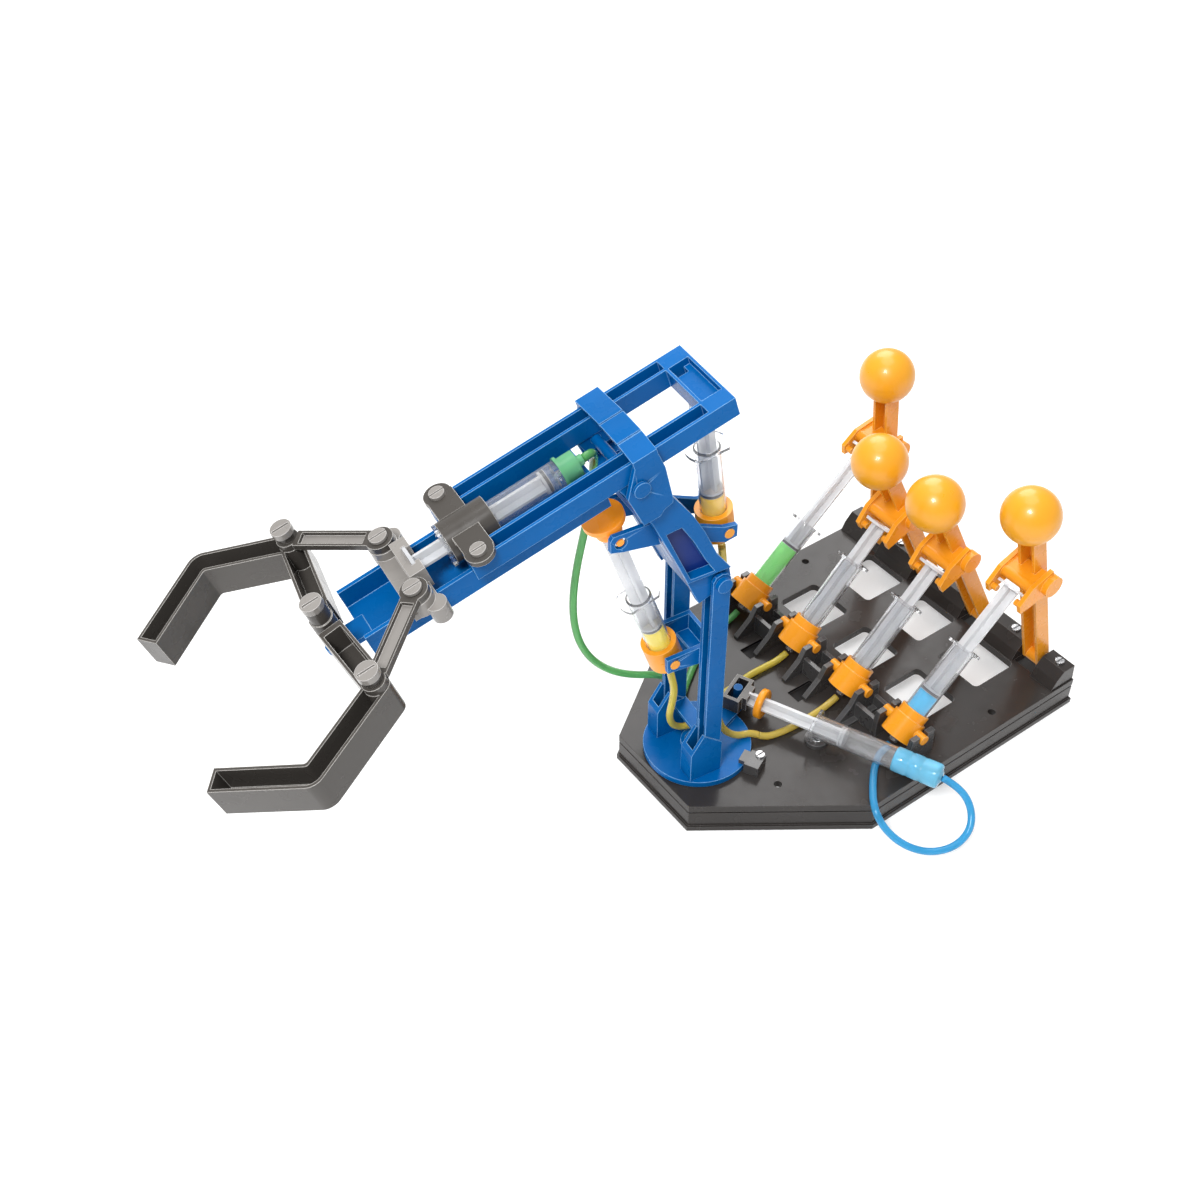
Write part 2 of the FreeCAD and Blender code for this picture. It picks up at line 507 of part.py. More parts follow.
def upper_arm():
    """Two cheeks joined by a shelf and a web, and the strap that passes over the forearm."""
    elbow_x, elbow_z = elbow_point()
    lower = [(-42, 226), (-35.7, 227), (-22.9, 209), (-15.8, 196), (-8.6, 179.7), (0, 167), (1.4, 160),
             (-1, 155), (-6.5, 153), (-15.8, 149.4), (-30, 182), (-44, 213), (-50, 219)]
    thick = [(-42, 226), (-35.7, 227), (-22.9, 209), (-15.8, 196), (-8.6, 179.7), (-0.5, 168), (-24, 168),
             (-30, 182), (-44, 213), (-50, 219)]
    upper = [(-54.6, 250.5), (-43.2, 253), (-39.9, 245.2), (-35.7, 227), (-42, 219), (-50, 217), (-58, 234)]
    shapes = []
    for side in SIDES:
        for points, near, far in ((lower, 15.6, 19.4), (thick, 19.2, 22), (upper, 23.2, 25.6)):
            low, high = sorted((side * near, side * far))
            shapes.append(prism("XZ", points, low, high))
        low, high = sorted((side * 10.6, side * 13.2))
        fork = [(-34, 190), (-38, 204.2), ("lift_high_x-4", "lift_high_z+5.2"),
                ("lift_high_x-5.4", "lift_high_z+3"), ("lift_high_x-5.4", "lift_high_z-3.6"),
                ("lift_high_x+1", "lift_high_z-5.4")]
        shapes.append(prism("XZ", fork, low, high))
        rear_fork = [(-18, 194), (-11, 181.5), ("reach_low_x-2", "reach_low_z-4.6"),
                     ("reach_low_x+4.4", "reach_low_z-3.4"), ("reach_low_x+4.4", "reach_low_z+3.6"),
                     ("reach_low_x-3", "reach_low_z+4.8")]
        shapes.append(prism("XZ", rear_fork, low, high))
    shapes.append(prism("XZ", [(-50, 217), (-50, 219.6), (-35.7, 227), (-35.7, 224.2)], -25.6, 25.6))
    shapes.append(prism("XZ", [(-19.5, 193), (-12.5, 181), (-10.3, 182.2), (-17.5, 194.5)], -15.8, 15.8))
    web = [(-44.5, 216), (-42.3, 217.4), (-14.8, 155.2), (-17, 154.1)]
    shapes.append(prism("XZ", web, -15.8, 15.8))
    strap = [(-25.6, -6), (-25.6, 2.2), (-13, 5.2), (4, 5.2), (25.6, 2.2), (25.6, -6), (23.2, -6),
             (23.2, 1.2), (3.6, 3.4), (-12.6, 3.4), (-23.2, 1.2), (-23.2, -6)]
    band = prism("YZ", strap, "-elbow_along+0.4", "-elbow_along+12.4")
    document.recompute()
    band.setExpression(".Placement.Base.x", None)
    band.setExpression(".Placement.Base.y", None)
    band.setExpression(".Placement.Base.z", None)
    band.Placement = in_plane(dim("fore_x"), dim("fore_z"), -dim("fore_tilt")).multiply(band.Placement)
    shapes.append(band)
    bores = [rod("y", 2.55, -27, 27, round(elbow_x, 3), round(elbow_z, 3)),
             rod("y", 3.1, -14, 14, "lift_high_x", "lift_high_z"),
             rod("y", 2.65, -14, 14, "reach_low_x", "reach_low_z"),
             rod("y", 2.55, -23, 23, "hip_x", "hip_z")]
    part("upper_arm_frame", cut(fuse(*shapes), *bores), ARM)


def elbow_pin():
    elbow_x, elbow_z = (round(value, 3) for value in elbow_point())
    heads = [rod("y", 4, low, high, elbow_x, elbow_z) for low, high in ((25.7, 27.2), (-27.2, -25.7))]
    part("elbow_pin", fuse(rod("y", 2.5, -26, 26, elbow_x, elbow_z), *heads), ARM)


# Forearm, in its own frame: distances along it are measured towards -X, heights from its top

def forearm_frame():
    """Two open channels side by side, closed at the rear, with the elbow lugs below."""
    shapes = []
    for side in SIDES:
        outer, inner = side * 22.8, side * 13.8
        low, high = sorted((outer, inner))
        body = cuboid(("-rail_len", 0), (low, high), ("-rail_deep", 0))
        trough = cuboid(("-rail_len+1.5", -13), (low + 1.4, high - 1.4), ("-rail_deep+1.8", 1))
        shapes.append(cut(body, trough))
        lug = [("-elbow_along-9", -9), ("-elbow_along+9", -9), ("-elbow_along+6", "-elbow_drop-5"),
               ("-elbow_along-6", "-elbow_drop-5")]
        shapes.append(prism("XZ", lug, low + 0.6, high - 0.6))
    tail = cuboid((-13, 0), ("-fore_half", "fore_half"), ("-rail_deep", 0))
    recess = cuboid((-11.6, -1.4), ("-fore_half+1.4", "fore_half-1.4"), (-4, 1))
    holes = [cuboid((-10, -4.5), (side * 12.6 - 2.7, side * 12.6 + 2.7), (-11, 0)) for side in SIDES]
    shapes.append(cut(tail, recess, *holes))
    hooks = []
    tilt = math.radians(dim("fore_tilt"))
    rel_x = dim("reach_high_x") - dim("fore_x")
    rel_z = dim("reach_high_z") - dim("fore_z")
    pin_x = round(rel_x * math.cos(tilt) + rel_z * math.sin(tilt), 3)
    pin_z = round(-rel_x * math.sin(tilt) + rel_z * math.cos(tilt), 3)
    for low, high in ((7.6, 10), (-10, -7.6)):
        hook = [(pin_x - 4.2, -9), (pin_x + 4.2, -9), (pin_x + 4.2, pin_z - 4), (pin_x - 4.2, pin_z - 4)]
        hooks.append(prism("XZ", hook, low, high))
    bores = [rod("y", 2.55, -24, 24, "-elbow_along", "-elbow_drop"), rod("y", 2.9, -11, 11, pin_x, pin_z)]
    part("forearm_frame", cut(fuse(*shapes, *hooks), *bores), FOREARM)


def front_beam():
    """Trough that carries the crosshead and ends in the tongue for the finger pivot."""
    body = cuboid(("-beam_end", "-beam_start"), ("-beam_half", "beam_half"), ("beam_floor", "beam_top"))
    trough = cuboid(("-beam_end-1", "-beam_start-2"), ("-beam_half+2", "beam_half-2"), ("beam_floor+2", "beam_top+1"))
    tongue = fuse(cuboid(("-pivot_along", "-beam_end+4"), (-6, 6), ("beam_floor", "beam_floor+2.6")),
                  rod("z", 6, "beam_floor", "beam_floor+2.6", "-pivot_along", 0))
    bore = rod("z", 2.25, "beam_floor-1", "beam_floor+4", "-pivot_along", 0)
    part("front_beam", cut(fuse(cut(body, trough), tongue), bore), FOREARM)


def wrist_clamp():
    """Clamp over the gripper syringe, screwed to both rails by its ears."""
    along = "-126"
    ring = rod("x", 10, "-barrel_start-56.8", "-barrel_start-34", 0, "gripper_axis")
    bar = cuboid((-132, -119), (-21, 21), (0.05, 2.6))
    ears = [rod("z", 6.6, 0.05, 2.6, along, side * 20.8) for side in SIDES]
    bore = rod("x", "barrel_radius+0.05", -138, -111, 0, "gripper_axis")
    part("wrist_clamp", cut(fuse(ring, bar, *ears), bore), FOREARM)


def clamp_screws():
    heads = [slotted_head("3.6", "2.6", "4.2", "-126", "%s" % (side * 20.8)) for side in SIDES]
    part("clamp_screws", group(*heads), FOREARM)


def gripper_syringe():
    """Slave inside the forearm; the nozzle is at the rear, the plunger pushes the crosshead."""
    axis = Placement(Vector(-dim("barrel_start"), 0, dim("gripper_axis")), Rotation(Vector(0, 1, 0), -90))
    tube = cut(rod("z", "barrel_radius", 0, 57), rod("z", "bore_radius", 2, 59), rod("z", 1.2, -1, 3))
    flange = cut(rod("z", 10, 57, 58.6), rod("z", "bore_radius", 56, 60),
                 cuboid((-11, 11), (7.2, 12), (56, 60)), cuboid((-11, 11), (-12, -7.2), (56, 60)))
    hub = cut(fuse(rod("z", 7.4, -1.5, -0.05), rod("z", 6.2, -9, -1.5)), rod("z", 1.2, -13, 0))
    frame = FOREARM.multiply(axis)
    part("gripper_barrel", fuse(tube, flange), frame)
    part("gripper_cap", fuse(hub, cut(rod("z", 2.6, -12, -9), rod("z", 1.2, -13, -8))), frame)
    reach = str(round(dim("thumb_along-barrel_start"), 3))
    part("gripper_plunger", plunger(reach, "grip_rod", "thumb_radius"), frame)


def crosshead():
    """Slider on the beam: it grips the thumb plate and carries the two link studs."""
    plate = cuboid(("-cross_along-6", "-cross_along+7.5"), (-24, 24), ("beam_top+0.3", -6.4))
    grip = cuboid(("-thumb_along-4.5", "-thumb_along+3"), (-11.5, 11.5), (-9.7, 1.5))
    ends = [rod("z", 6.6, "beam_top+0.3", -2.1, "-cross_along", "%d*cross_side" % side) for side in SIDES]
    studs = [rod("z", 2.2, -7, 1.9, "-cross_along", "%d*cross_side" % side) for side in SIDES]
    guides = [rod("z", 4.6, "beam_top-5", -6.4, "-cross_along+5", side * 24) for side in SIDES]
    room = rod("x", "thumb_radius+0.1", "-thumb_along-0.9", "-thumb_along+0.9", 0, "gripper_axis")
    rod_room = cuboid(("-thumb_along", 0), (-4.8, 4.8), ("gripper_axis-4.8", 3))
    part("crosshead", cut(fuse(plate, grip, *ends, *studs, *guides), room, rod_room), FOREARM)


def crosshead_screws():
    heads = [slotted_head("4.2", "1.9", "3.4", "-cross_along", "%d*cross_side" % side) for side in SIDES]
    part("crosshead_screws", group(*heads), FOREARM)


def offset_line(points, distance):
    """Points of a bent line moved sideways, mitred at its bends."""
    moved = []
    for i, point in enumerate(points):
        before = (point - points[i - 1]).normalize() if i else None
        after = (points[i + 1] - point).normalize() if i + 1 < len(points) else None
        normals = [Vector(-way.y, way.x, 0) for way in (before, after) if way]
        total = sum(normals[1:], normals[0])
        moved.append(point + total * (distance * len(normals) / total.dot(total)))
    return moved


def strip(points, half, low, high):
    """Solid that follows a bent line with a constant width."""
    edge = offset_line(points, half) + offset_line(points, -half)[::-1]
    corners = [Vector(p.x, p.y, low) for p in edge]
    return Part.Face(Part.makePolygon(corners + corners[:1])).extrude(Vector(0, 0, high - low))


def finger(side):
    """Bent channel, open at the top and closed at the tip, with its hub, link pin and heads."""
    along = Vector(-dim("pivot_along"), 0, 0)
    pin = Vector(-dim("link_pin_along"), side * dim("link_pin_side"), 0)
    knee = Vector(-dim("knee_along"), side * dim("knee_side"), 0)
    tip = Vector(-dim("tip_along"), side * dim("tip_side"), 0)
    path = [along + (pin - along).normalize() * 7.5, pin, knee, tip]
    top, low, half, wall = (dim(key) for key in ("finger_top", "finger_low", "finger_wide/2", "finger_wall"))
    outer = strip(path, half, low, top)
    short = [path[0] + (pin - along).normalize() * 3, pin, knee, tip + (knee - tip).normalize() * wall]
    body = outer.cut(strip(short, half - wall, low + 4, top + 1))
    span = (-10.3, top) if side > 0 else (low, -10.7)
    up = Vector(0, 0, 1)
    hub = Part.makeCylinder(5.4, span[1] - span[0], along + up * span[0])
    neck = strip([along + (pin - along).normalize() * 3, path[0] + (pin - along).normalize() * 2],
                 4.6, span[0], span[1])
    body = body.fuse([hub, neck])
    if side > 0:
        body = body.fuse(Part.makeCylinder(4.8, 5.2 - top, along + up * top))
    floor = Part.makeCylinder(5.3, top - low, pin + up * low)
    shaft = Part.makeCylinder(2.2, 6 - low, pin + up * low)
    spacer = Part.makeCylinder(3.8, 3.6, pin + up * 1.8)
    head = Part.makeCylinder(5, 3.2, pin + up * 5.4)
    slot = Part.makeBox(8, 1.2, 1.2, pin + Vector(-4, -0.6, 7.6))
    body = body.fuse([floor, shaft, spacer, head]).cut(slot)
    return body.cut(Part.makeCylinder(2.25, 40, along - up * 30)).removeSplitter()


def feature(name, shape, placement):
    """Sub-part whose shape has no plain primitive or sketch."""
    result = document.addObject("Part::Feature", name)
    result.Shape = shape
    part(name, result, placement)


def finger_pivot_pin():
    slot = cuboid(("-pivot_along-4", "-pivot_along+4"), (-0.6, 0.6), (7.6, 9))
    pin = fuse(rod("z", 2.2, "beam_floor", 5.5, "-pivot_along", 0), rod("z", 5, 5.4, 8.6, "-pivot_along", 0))
    part("finger_pivot_pin", cut(pin, slot), FOREARM)


def link(side):
    """Flat channel bar between a finger's pin and the crosshead's stud."""
    start = Vector(-dim("link_pin_along"), side * dim("link_pin_side"), -1.7)
    end = Vector(-dim("cross_along"), side * dim("cross_side"), -1.7)
    way = (end - start).normalize()
    near, far = start + way * 4, end - way * 4.5
    bar = strip([near, far], 4.2, -1.7, 1.5)
    bar = bar.cut(strip([near + way * 2.5, far - way * 2.5], 3, -0.5, 2))
    eyes = [Part.makeCylinder(5.2, 3.2, start), Part.makeCylinder(6.3, 3.2, end)]
    bar = bar.fuse(eyes)
    bores = [Part.makeCylinder(2.25, 6, start - Vector(0, 0, 1)), Part.makeCylinder(3.7, 6, end - Vector(0, 0, 1))]
    return bar.cut(bores[0]).cut(bores[1]).removeSplitter()


# Tubes: routes of straight runs, rounded by tangent arcs

def route_wire(points):
    edges = []
    last = points[0]
    for i in range(1, len(points) - 1):
        back, ahead = points[i] - points[i - 1], points[i + 1] - points[i]
        turn = back.getAngle(ahead)
        trim = 0.45 * min(back.Length, ahead.Length)
        begin = points[i] - Vector(back).normalize() * trim
        finish = points[i] + Vector(ahead).normalize() * trim
        radius = trim / math.tan(turn / 2)
        inward = (Vector(ahead).normalize() - Vector(back).normalize()).normalize()
        middle = points[i] + inward * (radius / math.cos(turn / 2) - radius)
        edges.append(Part.LineSegment(last, begin).toShape())
        edges.append(Part.Arc(begin, middle, finish).toShape())
        print("    radius %.1f" % radius)
        last = finish
    edges.append(Part.LineSegment(last, points[-1]).toShape())
    return Part.Wire(edges)


def tube(name, route, frame=None):
    points = [Vector(*point) for point in route]
    if frame is not None:
        points = [frame.multVec(point) for point in points]
    print(name)
    wire = route_wire(points)
    circle = Part.Circle(points[0], points[1] - points[0], dim("tube_radius")).toShape()
    solid = wire.makePipeShell([Part.Wire(circle)], True, False)
    section = math.pi * dim("tube_radius") ** 2
    print("    length %.1f, volume ratio %.4f" % (wire.Length, solid.Volume / (section * wire.Length)))
    feature(name, solid, Placement())


def master_end(number):
    """Point in the base frame just short of a master syringe's nozzle."""
    frame, reach = syringe_frame(number)
    return tuple(frame.multVec(Vector(0, 0, -13.2)))


def swing_end():
    return tuple(swing_frame()[0].multVec(Vector(0, 0, -71.5)))


# Centre lines. The loops on the arm and the turntable are in those parts' own frames.
TUBE_ROUTES = [
    ("tube_green_arm", FOREARM, [(-65.6, 0, -5), (-62.2, 0.6, -5.2), (-59.8, 3, -8.2), (-59.6, 6.5, -15),
                                 (-61, 10, -24), (-62, 14, -34)]),
    ("tube_green_loop", ARM, [(-51.5, 25, 184), (-52.5, 28, 170), (-55.5, 30, 150), (-57.5, 31, 130),
                              (-57, 31.5, 112), (-53.5, 32, 95), (-46, 32, 79), (-34.5, 32, 65.5),
                              (-21, 32, 56), (-7, 32, 49.5), (4, 31.5, 40), (9.5, 30, 27.5)]),
    ("tube_green_base", None, [(21, 37, 20.9), (30, 43.5, 20.9), (41.5, 51.5, 20.9), (53.5, 58.5, 20.9),
                               (65.5, 63, 20.9), (76.5, 64.2, 20.9), master_end(1)]),
    ("tube_yellow_tower", ARM, [(-19.6, 0, 92.6), (-17.5, 0.5, 82), (-14.6, 1.5, 70), (-14.8, 3.3, 57),
                                (-15.2, 5.5, 45), (-11.5, 6.5, 34.5), (-2.5, 7.5, 28.2), (6, 10.5, 26),
                                (12, 16.5, 24.9), (18.5, 22.5, 24.7)]),
    ("tube_yellow_base", None, [(33, 20, 20.9), (43, 20.4, 20.9), (54.5, 22.2, 20.9), (66, 22, 20.9),
                                (76.5, 21.4, 20.9), master_end(2)]),
    ("tube_amber_tower", ARM, [(8.5, 0, 161), (10.5, 0.5, 148), (10.5, 0, 131), (8.5, -1, 113),
                               (7.5, -1.5, 95), (8, -2.5, 77), (7, -4, 59), (8, -5.5, 45), (11, -8, 33),
                               (19, -10, 25.6), (28, -11, 24.7)]),
    ("tube_amber_base", None, [(32.5, -19, 20.9), (42, -21.5, 20.9), (53, -22.4, 20.9), (65, -22.2, 20.9),
                               (76.5, -21.4, 20.9), master_end(3)]),
    ("tube_blue", None, [swing_end(), (88, -110.5, 27.5), (88, -120, 21), (82, -127, 14), (71, -127.5, 8),
                         (59, -121, 5.5), (50, -110.5, 8), (45.5, -99.5, 14.5), (46.5, -90, 21.5),
                         (54.5, -80.5, 22.6), (63.5, -72, 21.4), (72, -66, 21), (77.5, -64.3, 21.4),
                         master_end(4)]),
]

base_deck()
base_skirt()
lever_housing()
lever_axle()
base_screws()
syringe_rack()
turntable_clip()
for station in STATIONS:
    lever(station)
    master(station)
lift_syringe()
reach_syringe()
swing_syringe()
turntable_disc()
tower_frame()
shoulder_pin()
upper_arm()
elbow_pin()
forearm_frame()
front_beam()
wrist_clamp()
clamp_screws()
gripper_syringe()
crosshead()
crosshead_screws()
finger_pivot_pin()
feature("finger_left", finger(1), FOREARM)
feature("finger_right", finger(-1), FOREARM)
feature("link_left", link(1), FOREARM)
feature("link_right", link(-1), FOREARM)
for name, frame, route in TUBE_ROUTES:
    tube(name, route, frame)

document.recompute()
problems = [item.Name for item in document.Objects if {"Invalid", "Error"} & set(item.State)]
for piece in pieces:
    if piece.Shape.isNull() or not piece.Shape.isValid():
        problems.append(piece.Label)
if problems:
    raise RuntimeError("failed: " + ", ".join(problems))

os.makedirs("parts", exist_ok=True)
for piece in pieces:
    piece.Shape.exportStep("parts/%s.step" % piece.Label)
print(len(pieces), "sub-parts")
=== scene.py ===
import json
import math

import bmesh
import bpy
from mathutils import Matrix, Vector


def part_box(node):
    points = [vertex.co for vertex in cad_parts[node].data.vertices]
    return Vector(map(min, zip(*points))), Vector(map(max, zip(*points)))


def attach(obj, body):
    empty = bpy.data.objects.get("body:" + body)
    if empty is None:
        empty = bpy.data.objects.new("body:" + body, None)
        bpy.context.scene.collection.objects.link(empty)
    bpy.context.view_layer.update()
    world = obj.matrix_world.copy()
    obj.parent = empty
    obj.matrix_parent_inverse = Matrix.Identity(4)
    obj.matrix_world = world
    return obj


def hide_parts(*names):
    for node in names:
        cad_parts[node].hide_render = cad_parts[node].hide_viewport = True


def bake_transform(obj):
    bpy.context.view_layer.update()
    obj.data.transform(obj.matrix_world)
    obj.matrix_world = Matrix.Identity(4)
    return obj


# Hydraulic arm kit: looks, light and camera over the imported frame. Metres, +Z up.

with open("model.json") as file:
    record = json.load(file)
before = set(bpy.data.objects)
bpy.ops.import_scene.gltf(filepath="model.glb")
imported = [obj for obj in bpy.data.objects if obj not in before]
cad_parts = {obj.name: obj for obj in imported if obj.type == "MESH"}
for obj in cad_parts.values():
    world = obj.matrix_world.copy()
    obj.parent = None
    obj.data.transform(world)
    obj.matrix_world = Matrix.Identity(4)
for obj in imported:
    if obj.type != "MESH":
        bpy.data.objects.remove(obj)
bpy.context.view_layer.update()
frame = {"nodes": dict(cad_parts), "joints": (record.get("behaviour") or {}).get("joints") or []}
MM = 0.001
JOINTS = {joint["name"]: joint for joint in frame["joints"]}
NODES = frame["nodes"]

# Dimensions that the frame was built with, in millimetres and degrees
ARM_YAW = -7.0
FOREARM_START = (-4.6, 266.7)
FOREARM_TILT = 17.2
BALL_RADIUS = 15.5
LEVER_LENGTH = 130.0
TUBE_RADIUS = 2.0
BORE_RADIUS = 5.65
BARREL_FLOOR = -4.0
DECK_TOP = 18.6
GRIPPER_SEAL = 83.6

# Camera: aim in millimetres on the floor; turn, rise and roll in degrees; distance in metres
CAMERA_AIM = (36.29, 141.61, 0)
CAMERA_ANGLES = (-35.1, 43.44, -0.9)
CAMERA_DISTANCE = 0.92063
CAMERA_LENS = 44.28

# Looks: the radius in metres of the rounded edges, which also carry a painted highlight, the
# plastics' colour drift, gloss and grain in features per metre, and the gaps round a liquid and at
# its ends in millimetres
EDGE_RADIUS = 0.0005
DRIFT_SCALE = 22
GLOSS_SCALE = 90
GRAIN_SCALE = 2600
CLEARANCE = 0.12
END_GAP = 0.15


# Frames

def arm(x, y, z):
    """Point of the turntable's frame, in millimetres, as a point of the shared frame in metres."""
    return Matrix.Rotation(math.radians(ARM_YAW), 3, "Z") @ Vector((x, y, z)) * MM


def forearm(x, y, n):
    """The same for a point of the forearm's frame: x along it, n up from its top."""
    tilt = math.radians(FOREARM_TILT)
    return arm(FOREARM_START[0] + x * math.cos(tilt) - n * math.sin(tilt), y,
               FOREARM_START[1] + x * math.sin(tilt) + n * math.cos(tilt))


def base(x, y, z):
    """The same for a point of the base's frame, which has the shared frame's axes."""
    return Vector((x, y, z)) * MM


FOREARM_UP = (forearm(0, 0, 1) - forearm(0, 0, 0)).normalized()


def above_forearm(point):
    """Height of a point above the forearm's top, in millimetres."""
    return (point - forearm(0, 0, 0)).dot(FOREARM_UP) / MM


# Camera

def add_camera():
    """Camera at the photograph's angle."""
    turn, rise, roll = (math.radians(value) for value in CAMERA_ANGLES)
    target = base(*CAMERA_AIM)
    level = math.cos(rise)
    back = Vector((math.sin(turn) * level, -math.cos(turn) * level, math.sin(rise)))
    right = Vector((math.cos(turn), math.sin(turn), 0))
    up = back.cross(right)
    right, up = (right * math.cos(roll) + up * math.sin(roll),
                 up * math.cos(roll) - right * math.sin(roll))
    camera = bpy.data.objects.new("camera", bpy.data.cameras.new("camera"))
    camera.data.lens = CAMERA_LENS
    camera.data.sensor_width = 36
    camera.data.clip_end = 20
    rotation = Matrix((right, up, back)).transposed().to_4x4()
    camera.matrix_world = Matrix.Translation(target + back * CAMERA_DISTANCE) @ rotation
    bpy.context.scene.collection.objects.link(camera)
    bpy.context.scene.camera = camera


# Light and floor, in metres

LIGHT_AIM = Vector((0, 0, 0.1))
FLOOR_HALF = 6.0
FLOOR_GAP = 0.0004


def add_light(name, place, size, power):
    """Round soft light aimed just above the middle of the base."""
    lamp = bpy.data.lights.new(name, "AREA")
    lamp.shape = "DISK"
    lamp.size = size
    lamp.energy = power
    holder = bpy.data.objects.new(name, lamp)
    holder.location = place
    holder.rotation_euler = (Vector(place) - LIGHT_AIM).to_track_quat("Z", "Y").to_euler()
    bpy.context.scene.collection.objects.link(holder)


def add_stage():
    """White room, three soft lights and the floor."""
    world = bpy.data.worlds.new("studio")
    bpy.context.scene.world = world
    world.use_nodes = True
    background = world.node_tree.nodes["Background"]
    background.inputs["Color"].default_value = (1.0, 1.0, 1.0, 1)
    background.inputs["Strength"].default_value = 0.50
    add_light("key", (-0.9, -0.5, 1.5), 0.5, 25)
    add_light("top", (0.2, 0.3, 1.6), 1.2, 9)
    add_light("back", (0.85, 1.2, 1.25), 1.3, 20)
    sheet = bpy.data.meshes.new("floor")
    corners = [(x * FLOOR_HALF, y * FLOOR_HALF, 0) for x, y in ((-1, -1), (1, -1), (1, 1), (-1, 1))]
    sheet.from_pydata(corners, [], [(0, 1, 2, 3)])
    floor = bpy.data.objects.new("floor", sheet)
    floor.location.z = -FLOOR_GAP
    bpy.context.scene.collection.objects.link(floor)
    floor.data.materials.append(floor_paper())


# Materials

def new_material(name):
    """New material, its node tree and its shader."""
    material = bpy.data.materials.new(name)
    material.use_nodes = True
    tree = material.node_tree
    return material, tree, tree.nodes["Principled BSDF"]


def node(tree, kind, **settings):
    """New node with some of its settings."""
    made = tree.nodes.new(kind)
    for key, value in settings.items():
        setattr(made, key, value)
    return made


def noise(tree, scale, detail=3.0):
    """Noise in the object's own coordinates. Scale is in features per metre."""
    place = node(tree, "ShaderNodeTexCoord")
    made = node(tree, "ShaderNodeTexNoise")
    made.inputs["Scale"].default_value = scale
    made.inputs["Detail"].default_value = detail
    tree.links.new(place.outputs["Object"], made.inputs["Vector"])
    return made.outputs["Fac"]


def spread(tree, value, low, high):
    """Value from 0.3 to 0.7 mapped to a range."""
    made = node(tree, "ShaderNodeMapRange")
    for key, number in (("From Min", 0.3), ("From Max", 0.7), ("To Min", low), ("To Max", high)):
        made.inputs[key].default_value = number
    tree.links.new(value, made.inputs["Value"])
    return made.outputs["Result"]


def blend_colours(tree, factor, first, second):
    """Mix of two colours, or of a socket and a colour."""
    made = node(tree, "ShaderNodeMix", data_type="RGBA")
    tree.links.new(factor, made.inputs["Factor"])
    for socket, colour in ((made.inputs[6], first), (made.inputs[7], second)):
        if isinstance(colour, tuple):
            socket.default_value = (*colour, 1)
        else:
            tree.links.new(colour, socket)
    return made.outputs[2]


def rounded_edges(tree, radius):
    """Bevelled normal, and how far it leans from the face at an edge."""
    bevel = node(tree, "ShaderNodeBevel", samples=6)
    bevel.inputs["Radius"].default_value = radius
    flat = node(tree, "ShaderNodeNewGeometry")
    lean = node(tree, "ShaderNodeVectorMath", operation="DOT_PRODUCT")
    tree.links.new(bevel.outputs["Normal"], lean.inputs[0])
    tree.links.new(flat.outputs["Normal"], lean.inputs[1])
    edge = node(tree, "ShaderNodeMapRange")
    for key, number in (("From Min", 0.995), ("From Max", 0.86), ("To Min", 0.0), ("To Max", 1.0)):
        edge.inputs[key].default_value = number
    tree.links.new(lean.outputs["Value"], edge.inputs["Value"])
    return bevel.outputs["Normal"], edge.outputs["Result"]


def moulded(name, colour, edge_highlight_colour, roughness, shade=0.8, edge_highlight_share=0.6, grain=0.00006,
            coat=0.0, specular=0.5, glow=0.0):
    """Moulded plastic: slow colour drift, fine grain, uneven gloss, and edges painted lighter as a
    painted highlight. Glow makes it give off light, painted light that brightens it.
    """
    material, tree, shader = new_material(name)
    dark = tuple(channel * shade for channel in colour)
    drift = blend_colours(tree, spread(tree, noise(tree, DRIFT_SCALE), 0.0, 1.0), dark,
                          colour)
    normal, edge = rounded_edges(tree, EDGE_RADIUS)
    # Painted highlight: the lighter edge colour is mixed in along every edge, convex or hollow.
    share = node(tree, "ShaderNodeMath", operation="MULTIPLY")
    share.inputs[1].default_value = edge_highlight_share
    tree.links.new(edge, share.inputs[0])
    painted_edge_highlight = blend_colours(tree, share.outputs[0], drift, edge_highlight_colour)
    tree.links.new(painted_edge_highlight, shader.inputs["Base Color"])
    gloss = spread(tree, noise(tree, GLOSS_SCALE), roughness * 0.75, roughness * 1.35)
    tree.links.new(gloss, shader.inputs["Roughness"])
    bump = node(tree, "ShaderNodeBump")
    bump.inputs["Strength"].default_value = 0.35
    bump.inputs["Distance"].default_value = grain
    tree.links.new(noise(tree, GRAIN_SCALE, 2.0), bump.inputs["Height"])
    tree.links.new(normal, bump.inputs["Normal"])
    tree.links.new(bump.outputs["Normal"], shader.inputs["Normal"])
    shader.inputs["Specular IOR Level"].default_value = specular
    shader.inputs["Emission Color"].default_value = (*colour, 1)
    shader.inputs["Emission Strength"].default_value = glow
    shader.inputs["Coat Weight"].default_value = coat
    shader.inputs["Coat Roughness"].default_value = 0.05
    return material


def clear(name, colour, roughness, ior, seen_through, glow=0.0):
    """Clear plastic or liquid: faint flow marks in the gloss and the surface. Glow makes it give
    off light, painted light that brightens it.
    """
    material, tree, shader = new_material(name)
    paler = tuple(min(1.0, channel * 1.08 + 0.01) for channel in colour)
    tint = blend_colours(tree, spread(tree, noise(tree, 60), 0.0, 1.0), colour, paler)
    tree.links.new(tint, shader.inputs["Base Color"])
    tree.links.new(spread(tree, noise(tree, 140), roughness * 0.6, roughness * 1.5),
                   shader.inputs["Roughness"])
    bump = node(tree, "ShaderNodeBump")
    bump.inputs["Strength"].default_value = 0.15
    bump.inputs["Distance"].default_value = 0.0001
    tree.links.new(noise(tree, 350, 2.0), bump.inputs["Height"])
    tree.links.new(bump.outputs["Normal"], shader.inputs["Normal"])
    shader.inputs["Transmission Weight"].default_value = seen_through
    shader.inputs["IOR"].default_value = ior
    shader.inputs["Emission Color"].default_value = (*colour, 1)
    shader.inputs["Emission Strength"].default_value = glow
    return material


